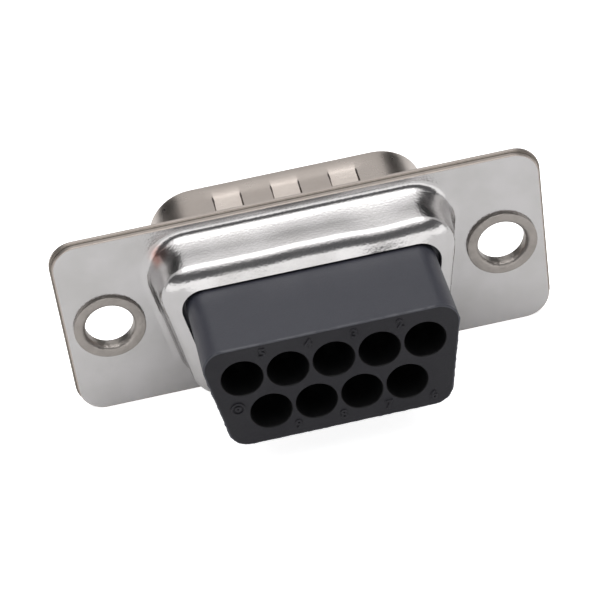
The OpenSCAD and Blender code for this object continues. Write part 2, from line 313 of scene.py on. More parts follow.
def tinned_brass(name, base):
    """Dull tin over brass: cloudy, with the soft orange peel of an eyelet rolled over cold."""
    material, tree = new_material(name)
    where = object_space(tree)
    darker = [c * 0.62 for c in srgb(base)[:3]] + [1.0]
    tint = blend(tree, noise_field(tree, where, 0.8, 4.0), srgb(base), darker)
    principled(tree, {"Base Color": tint, "Metallic": 1.0, "Roughness": 0.38},
               noise_field(tree, where, 0.2, 0.5), 0.03)
    return material


def moulded_resin(name, base, pale, ior, rough):
    """Glass-filled PBT from a spark-eroded tool: near black, half matt, with a fine grain."""
    material, tree = new_material(name)
    where = object_space(tree)
    cloud = noise_field(tree, where, 3.0, 3.0)
    # the real grain is about 0.03 mm, drawn coarser so that it shows
    grain = noise_field(tree, where, 0.14, 3.0, 0.7)
    fibres = remap(tree, grain, 0.62, 0.8, 0.0, 0.5)
    principled(tree, {"Base Color": blend(tree, fibres, srgb(base), srgb(pale)), "IOR": ior,
                      "Roughness": remap(tree, cloud, 0.3, 0.7, rough, rough + 0.12)},
               grain, 0.012)
    return material


def finish(name):
    """The material of that name, made once from the sidebar's colours."""
    if name in bpy.data.materials:
        return bpy.data.materials[name]
    c, s = bpy.context.scene.connector_colours, bpy.context.scene.connector_shell
    # the stain lies on the upper left corner of the collar
    width, height, _ = s.collar
    corner = (-width / 2 + 0.9 * MM, -1.3 * MM, height / 2 - 0.85 * MM)
    dull, bright_grain, dull_grain = (c.dull_tin, "#B7ADA6"), (0.15, 0.0075), (0.25, 0.004)
    make, *settings = {
        "bright_tin_plate": (tin_plate, c.bright_tin, "#B4B2B1", (0.18, 0.23), bright_grain,
                             (corner, 1.05 * MM, c.stain)),
        "dull_tin_plate": (tin_plate, *dull, (0.26, 0.34), dull_grain),
        "worn_tin_edge": (tin_plate, *dull, (0.36, 0.46), dull_grain),
        "sheared_steel_edge": (sheared_steel, c.sheared_edge, "#AFA69F", 0.42),
        # painted shade: on the rolls where the sheets meet, this dark finish also stands for the crevice's
        # shadow
        "fractured_steel": (sheared_steel, c.fracture, "#8A827B", 0.5),
        # painted shade: the dark strip down each dimple's right side also stands for the step's shadow
        "torn_steel": (sheared_steel, c.torn, "#7A726A", 0.55),
        "tinned_brass": (tinned_brass, c.eyelet),
        "glass_filled_pbt": (moulded_resin, c.resin, c.resin_pale, 1.55, 0.4),
        # painted shade: a darker copy of the resin for the eroded faces that turn away from the light
        "glass_filled_pbt_eroded": (moulded_resin, c.resin_face, c.resin_pale, 1.39, 0.55),
        # painted shade: a darker copy of the resin for the cavity walls, with a low IOR that dims their
        # reflections
        "glass_filled_pbt_bore": (moulded_resin, c.bore, "#0E0E10", 1.3, 0.4),
    }[name]
    return make(name, *settings)


# ---- shapes, in millimetres


def arc(x, y, r, start, end, steps):
    """Points round (x, y) from one angle to another, in degrees."""
    angles = [math.radians(start + (end - start) * i / steps) for i in range(steps + 1)]
    return [(x + r * math.cos(a), y + r * math.sin(a)) for a in angles]


def d_stations(width, height, corner, top=(), bottom=(), sides=8, turn=14, spans=8):
    """Centre and outward direction at each step round a D with its wide side up."""
    c0 = width / 2 - corner
    c1 = c0 - (height - 2 * corner) * math.tan(SIDE_SLOPE)
    c2 = height / 2 - corner
    slope = math.degrees(SIDE_SLOPE)

    def row(extra, reach):
        even = (reach * i / spans for i in range(-spans, spans + 1))
        return sorted({x for x in (*extra, *even) if -reach <= x <= reach})

    def bend(x, z, start, sweep, last):
        return [(x, z, start + sweep * i / turn) for i in range(1, last + 1)]

    def side(x0, x1, z, angle):
        return [(x0 + (x1 - x0) * i / sides, z - 2 * z * i / sides, angle)
                for i in range(1, sides + 1)]

    out = [(x, c2, 90.0) for x in reversed(row(top, c0))]
    out += bend(-c0, c2, 90, 90 + slope, turn) + side(-c0, -c1, c2, 180 + slope)
    out += bend(-c1, -c2, 180 + slope, 90 - slope, turn - 1)
    out += [(x, -c2, 270.0) for x in row(bottom, c1)]
    out += bend(c1, -c2, 270, 90 - slope, turn) + side(c1, c0, -c2, 360 - slope)
    out += bend(c0, c2, 360 - slope, 90 + slope, turn - 1)
    return [(x, z, math.cos(math.radians(a)), math.sin(math.radians(a))) for x, z, a in out]


def d_ring(stations, r, y):
    return [Vector((x + r * nx, y, z + r * nz)) for x, z, nx, nz in stations]


def circle_ring(x, z, r, y, steps):
    return [Vector((x + r * math.cos(math.tau * i / steps), y, z + r * math.sin(math.tau * i / steps)))
            for i in range(steps)]


def plate_ring(width, height, corner, inset, y):
    """Rounded rectangle, drawn in by inset."""
    ring = []
    for cx, cz, start in ((1, 1, 0), (-1, 1, 90), (-1, -1, 180), (1, -1, 270)):
        x, z = cx * (width / 2 - corner), cz * (height / 2 - corner)
        ring += [Vector((x + px, y, z + pz))
                 for px, pz in arc(0, 0, corner - inset, start, start + 90, 12)]
    return ring


class Former:
    """Collects rings of points in millimetres and the faces between them, each with its finish."""

    def __init__(self):
        self.points, self.faces, self.slots = [], [], []

    def ring(self, points):
        first = len(self.points)
        self.points += points
        return list(range(first, len(self.points)))

    def bridge(self, a, b, slot=0):
        for i in range(len(a)):
            j = (i + 1) % len(a)
            self.faces.append((a[i], a[j], b[j], b[i]))
            self.slots.append(slot)

    def chain(self, rings, slot=0):
        for a, b in zip(rings, rings[1:]):
            self.bridge(a, b, slot)

    def fill(self, loops, slot=0):
        """Flat face between an outer loop and any holes."""
        order = [i for loop in loops for i in loop]
        for tri in tessellate_polygon([[self.points[i] for i in loop] for loop in loops]):
            self.faces.append(tuple(order[k] for k in tri))
            self.slots.append(slot)

    def mesh(self, name, materials):
        mesh = bpy.data.meshes.new(name)
        mesh.from_pydata([p * MM for p in self.points], [], self.faces)
        for material in materials:
            mesh.materials.append(material)
        mesh.polygons.foreach_set("material_index", self.slots)
        return mesh


def smooth_step(value, low, high):
    t = min(max((value - low) / (high - low), 0.0), 1.0)
    return t * t * (3 - 2 * t)


def ramp(value, points):
    """Straight lines through the points."""
    for (x0, y0), (x1, y1) in zip(points, points[1:]):
        if value <= x1:
            return y0 + (y1 - y0) * max(0.0, (value - x0) / (x1 - x0))
    return points[-1][1]


# ---- from shapes to pieces


def linked(data, name):
    """A new object in the scene."""
    obj = bpy.data.objects.new(name, data)
    bpy.context.scene.collection.objects.link(obj)
    return obj


def tidy_mesh(mesh, closed=True):
    """Merges doubled points and turns the faces of a closed shape outwards."""
    bm = bmesh.new()
    bm.from_mesh(mesh)
    bmesh.ops.remove_doubles(bm, verts=bm.verts, dist=2e-8)
    bmesh.ops.dissolve_degenerate(bm, edges=bm.edges, dist=1e-9)
    if closed:
        bmesh.ops.recalc_face_normals(bm, faces=bm.faces)
    bm.to_mesh(mesh)
    bm.free()


def baked(obj, name):
    """The object with its modifiers applied, as a plain mesh of that name."""
    bpy.context.view_layer.update()
    graph = bpy.context.evaluated_depsgraph_get()
    done = bpy.data.meshes.new_from_object(obj.evaluated_get(graph), preserve_all_data_layers=True,
                                           depsgraph=graph)
    obj.modifiers.clear()
    old = obj.data
    obj.data = done
    done.name = name
    bpy.data.meshes.remove(old)
    return obj


def place(mesh, name):
    """Puts a finished mesh in the scene with smooth bends and true flats."""
    obj = linked(mesh, name)
    mesh.shade_smooth()
    mesh.set_sharp_from_angle(angle=math.radians(34))
    weigh = obj.modifiers.new("flat_faces", "WEIGHTED_NORMAL")
    weigh.mode = "FACE_AREA"
    weigh.keep_sharp = True
    return baked(obj, name)


def finished(former, name, finishes):
    """The former's closed shape in these finishes."""
    mesh = former.mesh(name, [finish(f) for f in finishes])
    tidy_mesh(mesh)
    return place(mesh, name)


def settle(obj, nodes):
    """The piece stands for its solids and moves with the part."""
    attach(obj, "root")
    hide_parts(*nodes)


def repeat_tree(name, material, two_rows):
    """Node group that sets copies of the incoming shape along one or two rows."""
    tree = bpy.data.node_groups.new(name, "GeometryNodeTree")
    for socket, kind in (("Geometry", "Geometry"), ("Upper count", "Int"), ("Lower count", "Int"),
                         ("Pitch", "Float"), ("Row spacing", "Float")):
        tree.interface.new_socket(socket, in_out="INPUT", socket_type="NodeSocket" + kind)
    tree.interface.new_socket("Geometry", in_out="OUTPUT", socket_type="NodeSocketGeometry")
    given = add(tree, "NodeGroupInput").outputs

    def row(contacts, side):
        half = math_node(tree, "MULTIPLY", math_node(tree, "SUBTRACT", contacts, 1.0), -0.5)
        start = math_node(tree, "MULTIPLY", half, given["Pitch"])
        height = math_node(tree, "MULTIPLY", given["Row spacing"], 0.5 * side)
        first = add(tree, "ShaderNodeCombineXYZ", {"X": start, "Z": height}).outputs[0]
        step = add(tree, "ShaderNodeCombineXYZ", {"X": given["Pitch"]}).outputs[0]
        return add(tree, "GeometryNodeMeshLine",
                   {"Count": contacts, "Start Location": first, "Offset": step}, mode="OFFSET").outputs[0]

    points = add(tree, "GeometryNodeJoinGeometry")
    tree.links.new(row(given["Upper count"], 1.0 if two_rows else 0.0), points.inputs[0])
    if two_rows:
        tree.links.new(row(given["Lower count"], -1.0), points.inputs[0])
    copies = add(tree, "GeometryNodeInstanceOnPoints",
                 {"Points": points.outputs[0], "Instance": given["Geometry"]})
    real = add(tree, "GeometryNodeRealizeInstances", {"Geometry": copies.outputs[0]})
    coated = add(tree, "GeometryNodeSetMaterial", {"Geometry": real.outputs[0], "Material": material})
    add(tree, "NodeGroupOutput", {0: coated.outputs[0]})
    return tree


def repeated(mesh, name, material, upper, lower, pitch, rows):
    """Copies of the mesh on rows of points, as one plain mesh."""
    obj = linked(mesh, name)
    tree = repeat_tree(name + "_rows", material, lower > 0)
    rows_modifier = obj.modifiers.new("rows", "NODES")
    rows_modifier.node_group = tree
    values = {"Upper count": upper, "Lower count": lower, "Pitch": pitch * MM,
              "Row spacing": rows * MM}
    for item in tree.interface.items_tree:
        if item.in_out == "INPUT" and item.name in values:
            rows_modifier[item.identifier] = values[item.name]
    done = baked(obj, name).data
    bpy.data.objects.remove(obj)
    return done


def joined(meshes, name, materials):
    """Several meshes as one, with these finishes; a mesh's own slot names say which it takes."""
    bm = bmesh.new()
    names = [m.name for m in materials]
    for mesh in meshes:
        old = [m.name if m else names[0] for m in mesh.materials] or [names[0]]
        first = len(bm.faces)
        bm.from_mesh(mesh)
        bm.faces.ensure_lookup_table()
        for face in bm.faces[first:]:
            face.material_index = names.index(old[min(face.material_index, len(old) - 1)])
    out = bpy.data.meshes.new(name)
    bm.to_mesh(out)
    bm.free()
    for material in materials:
        out.materials.append(material)
    return out


# ---- pieces


def flange(former, s, span, depths, rolls, hole_line, d_rings, slots):
    """Flat flange with two round holes and a D hole whose rings are given, the front first.

    Each cut edge rolls towards both faces. The line gives a round hole's radius at its depths,
    from front to back. The slots are the finishes of the front roll, the cut edge with the holes,
    and the back roll.
    """
    def edge(y, roll, way):
        return [former.ring(plate_ring(span, s.flange_height, s.flange_corner, roll - px,
                                       y - way * (roll - py)))
                for px, py in arc(0, 0, roll, 90, 0, 3)]

    front = edge(depths[0], rolls[0], 1)
    back = edge(depths[1], rolls[1], -1)
    former.chain(front, slots[0])
    former.chain(back, slots[2])
    former.bridge(front[-1], back[-1], slots[1])
    holes = [[former.ring(circle_ring(side * s.hole_spacing / 2, 0, r, y, 96)) for r, y in hole_line]
             for side in (-1, 1)]
    for hole in holes:
        former.chain(hole, slots[1])
    former.fill([front[0], d_rings[0]] + [hole[0] for hole in holes])
    former.fill([back[0], d_rings[1]] + [hole[-1] for hole in holes])


class CONNECTOR_OT_front_shell(bpy.types.Operator):
    """Front shell: flange and D-shaped mating wall with its grounding dimples"""

    bl_idname = "connector.front_shell"
    bl_label = "Front shell"

    def execute(self, context):
        s = Sizes(context.scene.connector_shell)
        e = Sizes(context.scene.connector_eyelet)
        sheet, bend, roll = s.sheet, s.front_bend, s.die_roll
        width, height, inner = s.mating
        width, height, outer = width + 2 * sheet, height + 2 * sheet, inner + sheet
        depth, mouth = s.mating_depth, s.mouth_round
        half, wall, cut = s.dimple_width / 2, s.dimple_wall, s.dimple_depth
        root, near, far = s.dimple_root, s.dimple_near, s.dimple_far
        rim = 0.06   # rounding of the rim's inner edge
        soft = 0.09  # width of a dimple's sloping side
        steps = [0, 0.5 * half, half - soft, half - 0.5 * soft, half, half + 0.5 * soft, half + soft,
                 half + wall, half + wall + soft, half + wall + 2 * soft]
        top, bottom = ([x + k * d for x in centres for d in steps for k in (-1, 1)]
                       for centres in (DIMPLES_ABOVE, DIMPLES_BELOW))
        stations = d_stations(width, height, outer, top, bottom)

        # how deep a dimple is along the wall, on each of its sides
        outside = [(root - 0.1, 0), (root, 0), (near - 0.15, cut), (near, cut), (far + 0.3, 0)]
        inside = [(root - 0.35, 0), (root - 0.3, 0), (near - 0.3, cut), (near + 0.1, cut),
                  (far + 0.1, 0), (far + 0.2, 0)]

        def sink(x, y, nz, is_lining):
            """How far the press pushes the wall in at this place, on its outside or its lining."""
            centres = DIMPLES_ABOVE if nz > 0.999 else DIMPLES_BELOW if nz < -0.999 else ()
            if not centres:
                return 0
            reach = half - soft / 2 + (wall if is_lining else 0)
            line = inside if is_lining else outside
            pressed = max(ramp(y, line) * (1 - smooth_step(abs(x - c), reach, reach + soft))
                          for c in centres)
            # the press also draws the wall in a little round and between the dimples
            last = centres[-1] + half
            drawn = (1 - smooth_step(abs(x), last - 0.2, last + 1.2)) * s.dent
            drawn *= smooth_step(y, root - 0.4, near + 0.9)
            drawn *= 1 - smooth_step(y, far - 0.3, depth - 0.4)
            return pressed + drawn * (0.4 if is_lining else 1.0)

        # rows of points up the wall, closer together where a dimple turns
        rows = sorted({bend, 0.35, 0.5, 0.58, root - 0.05, root, 0.86, 0.94, near - 0.15,
                       near - 0.05, near, near + 0.1, 1.5, 1.8, 2.1, 2.4, 2.7, 3.0, 3.2, 3.7,
                       far - 0.06, far, far + 0.1, 4.2, 4.7, depth - mouth})
        skin = arc(outer + bend, bend, bend, -90, -180, 6) + [(outer, y) for y in rows[1:]]
        skin += arc(outer - mouth, depth - mouth, mouth, 0, 90, 6)[1:]
        lining = arc(inner + rim, depth - rim, rim, 90, 180, 3)
        lining += [(inner, y) for y in reversed(rows[:-1])]
        lining += arc(outer + bend, bend, bend + sheet, 180, 270, 8)[1:]

        former = Former()
        rings = []
        for r, y, is_lining in [(*p, False) for p in skin] + [(*p, True) for p in lining]:
            ring = []
            for x, z, nx, nz in stations:
                at = r - (sink(x, y, nz, is_lining) if y > bend else 0)
                ring.append(Vector((x + at * nx, y, z + at * nz)))
            rings.append(former.ring(ring))
        former.chain(rings)
        hole, flare = e.barrel / 2 + CLEARANCE, e.flare / 2 + CLEARANCE
        # the back roll, against the rear sheet, takes the fracture finish, whose dark colour also paints the
        # crevice's shade
        flange(former, s, s.flange_length, (0, -sheet), (0.8 * roll, 1.5 * roll),
               [(flare, 0), (hole, -e.flare_depth), (hole, -sheet)], (rings[0], rings[-1]),
               (0, 1, 3))

        # the press tears the steel down the right side of each dimple; the dark finish there also paints the
        # step's shadow
        for k, face in enumerate(former.faces):
            if former.slots[k] == 0 and len(face) == 4:
                middle = sum((former.points[i] for i in face), Vector()) / 4
                centres = DIMPLES_ABOVE if middle.z > 0 else DIMPLES_BELOW
                off_side = min(abs(middle.x - c - half) for c in centres)
                on_wall = abs(middle.z) > height / 2 - cut - 0.2
                if on_wall and off_side < soft / 2 and root < middle.y < far - 0.5:
                    former.slots[k] = 2
        obj = finished(former, "front_shell_plated", ("dull_tin_plate", "worn_tin_edge",
                                                      "torn_steel", "fractured_steel"))
        settle(obj, ["front_shell"])
        return {"FINISHED"}


class CONNECTOR_OT_rear_shell(bpy.types.Operator):
    """Rear shell: flange and drawn collar with its turned-in lip"""

    bl_idname = "connector.rear_shell"
    bl_label = "Rear shell"

    def execute(self, context):
        s = Sizes(context.scene.connector_shell)
        e = Sizes(context.scene.connector_eyelet)
        sheet, depth, fall, roll = s.sheet, s.collar_depth, s.lip_fall, s.die_roll
        lean = math.atan(s.collar_draft / (depth - 2 * sheet))
        base_x = s.collar[2] + s.base_bend * math.tan(math.radians(45) - lean / 2)
        steepest = 87.0 - 0.2 * math.degrees(lean)
        stations = d_stations(*s.collar, spans=20)
        reach = stations[0][0]

        def section(x, nz):
            """Outer line of the collar: distance from the corner centre, depth, way it faces.

            The bends run gradually into the wall, and the wall leans a little more in some places
            than in others.
            """
            wave = 0.0
            if nz > 0.999:
                wave = (0.9 * math.cos(0.75 * (x - 0.3)) - 0.35 * math.sin(1.9 * x)
                        - 1.6 * smooth_step(x, 2.0, 5.0))
                wave *= 1 - smooth_step(abs(x), reach - 1.6, reach)
            # each stretch from flange to lip: its length, the angle it turns to, and its steps
            turns = [(s.base_bend * math.radians(74), 74.0, 9),
                     (1.15, steepest + 2.2 * wave, 9), (0.9, 80.0, 7),
                     (0.5 * s.shoulder_bend, 46.0, 8), (0.75 * s.shoulder_bend, 27.0, 8),
                     (0.12, 22.0, 2)]
            wall = (1, 2)

            def walk(stretch):
                px, py, angle, turned = base_x, -2 * sheet, 0.0, 0.0
                line = [(px, py, angle)]
                for k, (run, target, steps) in enumerate(turns):
                    run *= stretch if k in wall else 1.0
                    for _ in range(steps):
                        before = angle
                        angle += (target - turned) / steps
                        way = math.radians((before + angle) / 2)
                        px -= math.cos(way) * run / steps
                        py -= math.sin(way) * run / steps
                        line.append((px, py, math.radians(angle)))
                    turned = target
                return line

            # the wall's stretches are as long as the collar's depth asks for
            short, long = walk(0.5), walk(1.5)
            share = (-depth + fall / 2 - short[-1][1]) / (long[-1][1] - short[-1][1])
            return walk(0.5 + share)

        lines = [section(x + nx, nz) for x, z, nx, nz in stations]
        opening = d_stations(*s.opening, spans=20)
        rim = 0.06  # rounding of the opening's edges
        edge = s.opening[2] + rim
        lip_y = -depth - fall / 2

        def wall_ring(k, inwards):
            ring = []
            for (x, z, nx, nz), line in zip(stations, lines):
                px, py, facing = line[k]
                r, y = px - inwards * math.sin(facing), py + inwards * math.cos(facing)
                ring.append(Vector((x + r * nx, y, z + r * nz)))
            return ring

        def lip_rings(last, y):
            """Two rings across the lip, from the shoulder's last ring towards the opening."""
            return [[a.lerp(b, share) for a, b in zip(last, d_ring(opening, edge, y))]
                    for share in (0.4, 0.8)]

        outer = [wall_ring(k, 0) for k in range(len(lines[0]))]
        inner = [wall_ring(k, sheet) for k in reversed(range(len(lines[0])))]
        points = outer + lip_rings(outer[-1], lip_y)
        points += [d_ring(opening, r, y) for r, y in arc(edge, lip_y + rim, rim, -90, -180, 3)]
        points += [d_ring(opening, r, y)
                   for r, y in arc(edge, lip_y + sheet - rim, rim, 180, 90, 3)]
        points += lip_rings(inner[0], lip_y + sheet)[::-1] + inner
        former = Former()
        rings = [former.ring(p) for p in points]
        former.chain(rings)
        hole = e.barrel / 2 + CLEARANCE
        # the front roll, against the front sheet, takes the fracture finish, whose dark colour also paints
        # the crevice's shade
        flange(former, s, s.rear_length, (-sheet, -2 * sheet), (1.3 * roll, 0.6 * roll),
               [(hole, -sheet), (hole, -2 * sheet)], (rings[-1], rings[0]), (2, 1, 1))
        obj = finished(former, "rear_shell_plated", ("bright_tin_plate", "sheared_steel_edge",
                                                     "fractured_steel"))
        settle(obj, ["rear_shell"])
        return {"FINISHED"}


def contact_places(i):
    """Number and centre of each cavity, from the right of the upper row as seen from behind."""
    out = []
    for contacts, z in ((i.upper_row, i.row_spacing / 2), (i.lower_row, -i.row_spacing / 2)):
        out += [(((contacts - 1) / 2 - k) * i.pitch, z) for k in range(contacts)]
    return [(n + 1, x, z) for n, (x, z) in enumerate(out)]


def pierced(former, outline, i, r, y, slot):
    """Flat face inside the outline, with a round hole for each contact."""
    holes = [former.ring(circle_ring(x, z, r, y, HOLE_STEPS)) for _, x, z in contact_places(i)]
    former.fill([outline] + holes, slot)


def moulded(former, name, profile, i):
    """The former's body with the wall of every contact hole, from radii and depths."""
    # the eroded faces take a darker copy of the resin, which paints their shade
    finishes = [finish("glass_filled_pbt" + kind) for kind in ("", "_eroded", "_bore")]
    body = former.mesh(name, finishes[:2])
    wall = Former()
    wall.chain([wall.ring(circle_ring(0, 0, r, y, HOLE_STEPS)) for r, y in profile])
    # the cavity walls take the darkest copy of the resin, painted shade
    walls = repeated(wall.mesh("hole_wall", []), name + "_holes", finishes[2],
                     i.upper_row, i.lower_row, i.pitch, i.row_spacing)
    mesh = joined([body, walls], name, finishes)
    tidy_mesh(mesh)
    return place(mesh, name)


class CONNECTOR_OT_front_insulator(bpy.types.Operator):
    """Front insulator: the face inside the mating shell, with a lead-in at each pin hole"""

    bl_idname = "connector.front_insulator"
    bl_label = "Front insulator"

    def execute(self, context):
        i = Sizes(context.scene.connector_insulator)
        nose, wide, face = i.nose[2], i.front_flange[2], i.nose_face
        pin, ring = i.pin_bore / 2, i.ring_bore / 2
        inner, outer = d_stations(*i.nose), d_stations(*i.front_flange)
        edge, lead_in, ring_end = 0.12, 0.2, -0.6
        lines = [(inner, x, y) for x, y in arc(nose - edge, face - edge, edge, 90, 0, 4)]
        lines += [(inner, nose, -i.seat), (outer, wide, -i.seat), (outer, wide, -i.joint)]
        former = Former()
        rings = [former.ring(d_ring(*line)) for line in lines]
        former.chain(rings)
        pierced(former, rings[0], i, pin + lead_in, face, 1)
        pierced(former, rings[-1], i, ring, -i.joint, 1)
        profile = [(pin + lead_in, face), (pin + 0.04, face - 0.16), (pin, face - 0.22),
                   (pin, ring_end), (ring, ring_end), (ring, -i.joint)]
        settle(moulded(former, "front_insulator_moulded", profile, i), ["front_insulator"])
        return {"FINISHED"}


class CONNECTOR_OT_rear_insulator(bpy.types.Operator):
    """Rear insulator: the block with the contact cavities, and a thin flash along its rear edge"""

    bl_idname = "connector.rear_insulator"
    bl_label = "Rear insulator"

    def execute(self, context):
        i = Sizes(context.scene.connector_insulator)
        s = Sizes(context.scene.connector_shell)
        back, edge, corner, wide = i.block_depth, i.block_edge, i.block[2], i.rear_flange[2]
        behind_lip = s.collar_depth - s.sheet
        cavity, ring = i.cavity / 2, i.ring_bore / 2
        ring_back, ring_front, mouth = -3.2, -2.6, cavity + 0.05
        # points close enough together for the flash
        grid = [k * 0.25 for k in range(-30, 31)]
        block, outer = (d_stations(*d, grid, grid, sides=24, turn=18) for d in (i.block, i.rear_flange))

        def flashed(r, y, amount):
            """Ring round the block that stands out irregularly, as flash does."""
            points = []
            for x, z, nx, nz in block:
                at_x, at_z = x + r * nx, z + r * nz
                ragged = noise.noise(Vector((3.1 * at_x, 7.0, 3.1 * at_z)))
                ragged += 0.6 * noise.noise(Vector((9.7 * at_x, 2.0, 9.7 * at_z)))
                at = r + amount * max(ragged, -0.2)
                points.append(Vector((x + at * nx, y, z + at * nz)))
            return points

        lines = [flashed(corner - edge, -back, 0.01), flashed(corner - 0.35 * edge, -back + 0.02, 0.05),
                 flashed(corner, -back + 0.07, 0.05), flashed(corner, -back + 0.16, 0.02),
                 d_ring(block, corner, -back + 0.35)]
        lines += [d_ring(block, corner, -back + (back - behind_lip) * k) for k in (0.3, 0.65)]
        lines += [d_ring(block, corner, -behind_lip)]
        former = Former()
        rings = [former.ring(line) for line in lines]
        former.chain(rings)
        # the rear face takes the eroded resin, whose darker colour paints the shade on it
        pierced(former, rings[0], i, mouth, -back, 1)
        lower = former.ring(d_ring(outer, wide, -behind_lip))
        upper = former.ring(d_ring(outer, wide, -i.joint))
        former.bridge(lower, upper)
        former.fill([lower, rings[-1]])
        pierced(former, upper, i, cavity, -i.joint, 0)
        profile = [(mouth, -back), (cavity + 0.015, -back + 0.03), (cavity, -back + 0.07),
                   (cavity, -7.5), (cavity, ring_back), (ring, ring_back), (ring, ring_front),
                   (cavity, ring_front), (cavity, -i.joint)]
        settle(moulded(former, "rear_insulator_moulded", profile, i), ["rear_insulator"])
        return {"FINISHED"}


class CONNECTOR_OT_contact_numbers(bpy.types.Operator):
    """Contact numbers moulded on the rear face, and the rings of a mould pin"""

    bl_idname = "connector.contact_numbers"
    bl_label = "Contact numbers"

    def execute(self, context):
        i = Sizes(context.scene.connector_insulator)
        # the numbers take the eroded resin, whose darker colour paints the rear face's shade
        resin = finish("glass_filled_pbt_eroded")
        back, relief = i.block_depth, i.digit_relief
        font_size = i.digit_height * 1.35
        beside_upper, beside_lower = Vector((1.4, 0, 1.55)), Vector((1.5, 0, -1.45))
        facing_back = Matrix(((1, 0, 0, 0), (0, 0, -1, 0), (0, 1, 0, 0), (0, 0, 0, 1)))
        pieces = []
        for number, x, z in contact_places(i):
            if number == 1:
                continue
            letters = bpy.data.curves.new("digit", "FONT")
            letters.body, letters.size = str(number), font_size
            letters.extrude = letters.bevel_depth = relief / 2
            letters.align_x, letters.align_y = "CENTER", "CENTER"
            obj = linked(letters, "digit")
            context.view_layer.update()
            mesh = bpy.data.meshes.new_from_object(
                obj.evaluated_get(context.evaluated_depsgraph_get()))
            bpy.data.objects.remove(obj)
            at = Vector((x, -back, z)) + (beside_upper if z > 0 else beside_lower)
            mesh.transform(Matrix.Scale(MM, 4) @ Matrix.Translation(at) @ facing_back)
            mesh.materials.clear()
            mesh.materials.append(resin)
            pieces.append(mesh)
        former = Former()
        pin_x, pin_z, sunk = -6.1, -0.75, 0.01
        for wide, narrow in ((0.44, 0.33), (0.2, 0.06)):
            rings = [former.ring(circle_ring(pin_x, pin_z, r, -back + y, 40))
                     for r, y in ((wide, sunk), (wide, -relief), (narrow, -relief), (narrow, sunk))]
            former.chain(rings + [rings[0]])
        pieces.append(former.mesh("mould_ring", [resin]))
        mesh = joined(pieces, "contact_numbers", [resin])
        tidy_mesh(mesh, closed=False)
        obj = place(mesh, "contact_numbers")
        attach(obj, "root")
        return {"FINISHED"}


class CONNECTOR_OT_eyelets(bpy.types.Operator):
    """Two eyelets that hold the shells together, headed behind and flared flush in front"""

    bl_idname = "connector.eyelets"
    bl_label = "Eyelets"

    def execute(self, context):
        e = Sizes(context.scene.connector_eyelet)
        s = Sizes(context.scene.connector_shell)
        bore, barrel, head, flare = e.bore / 2, e.barrel / 2, e.head / 2, e.flare / 2
        back, sink, under = e.head_back, e.flare_depth, 2 * s.sheet
        soft, mouth = 0.06, 0.3
        profile = [(flare, 0), (barrel, -sink), (barrel, -under), (head, -under)]
        profile += arc(head - soft, -back + soft, soft, 0, -90, 5)
        profile += arc(bore + mouth, -back + mouth, mouth, -90, -180, 8)
        profile += [(bore, -sink), (bore + sink * 0.5, -sink * 0.42), (bore + sink, 0)]
        former = Former()
        rings = [former.ring(circle_ring(0, 0, r, y, 96)) for r, y in profile]
        former.chain(rings + [rings[0]])
        brass = finish("tinned_brass")
        single = former.mesh("eyelet", [brass])
        tidy_mesh(single)
        mesh = repeated(single, "eyelets_plated", brass, 2, 0, s.hole_spacing, 0.0)
        tidy_mesh(mesh)
        settle(place(mesh, "eyelets_plated"), ["eyelet_left", "eyelet_right"])
        return {"FINISHED"}


# ---- stage


def lay_floor(floor_z, tone):
    """A white sheet that still takes the object's shadow."""
    size = 1.5
    mesh = bpy.data.meshes.new("floor")
    mesh.from_pydata([(x * size, y * size, floor_z) for x, y in ((-1, -1), (1, -1), (1, 1), (-1, 1))],
                     [], [(0, 1, 2, 3)])
    paper, tree = new_material("white_paper_sweep")
    seen = add(tree, "ShaderNodeLightPath").outputs
    shiny = math_node(tree, "MAXIMUM", seen["Is Glossy Ray"], seen["Is Transmission Ray"])
    dim = math_node(tree, "MULTIPLY", shiny, 0.03)
    lift = math_node(tree, "MULTIPLY_ADD", seen["Is Camera Ray"], 0.8, dim)
    principled(tree, {"Base Color": srgb(tone), "Roughness": 0.9, "Specular IOR Level": 0.0,
                      "Emission Color": WHITE, "Emission Strength": lift})
    mesh.materials.append(paper)
    linked(mesh, "floor")


def grid_faces(first, columns, rows):
    """Quads of a grid whose points run row by row, counted on from the first."""
    width = columns + 1
    return [(a, a + 1, a + width + 1, a + width) for r in range(rows)
            for a in range(first + r * width, first + r * width + columns)]


def hang_unseen(mesh, name):
    """Hangs up a card that shows only in reflections and by its light."""
    card = linked(mesh, name)
    card.visible_camera = False
    card.visible_shadow = False


def hang_cards(tones):
    """The dark room round the camera, and a black card behind at each side, shown by the bends."""
    cards = bpy.data.meshes.new("black_cards")
    points, faces, columns, rows = [], [], 16, 6
    for low_turn, high_turn, low, high in ((-95, 95, 18, 50), (126, 158, 6, 47), (201, 234, 0, 47)):
        first = len(points)
        for r in range(rows + 1):
            height = math.radians(low + (high - low) * r / rows)
            for k in range(columns + 1):
                turn = math.radians(low_turn + (high_turn - low_turn) * k / columns)
                points.append((CARD_REACH * math.sin(turn) * math.cos(height),
                               -CARD_REACH * math.cos(turn) * math.cos(height),
                               CARD_REACH * math.sin(height)))
        faces += grid_faces(first, columns, rows)
    cards.from_pydata(points, [], faces)
    for name, tone in zip(("grey_card", "black_card"), tones):
        paper, tree = new_material(name)
        principled(tree, {"Base Color": srgb(tone), "Roughness": 1.0, "Specular IOR Level": 0.0})
        cards.materials.append(paper)
    for k, face in enumerate(cards.polygons):
        face.material_index = min(k // (columns * rows), 1)
    hang_unseen(cards, "black_cards")


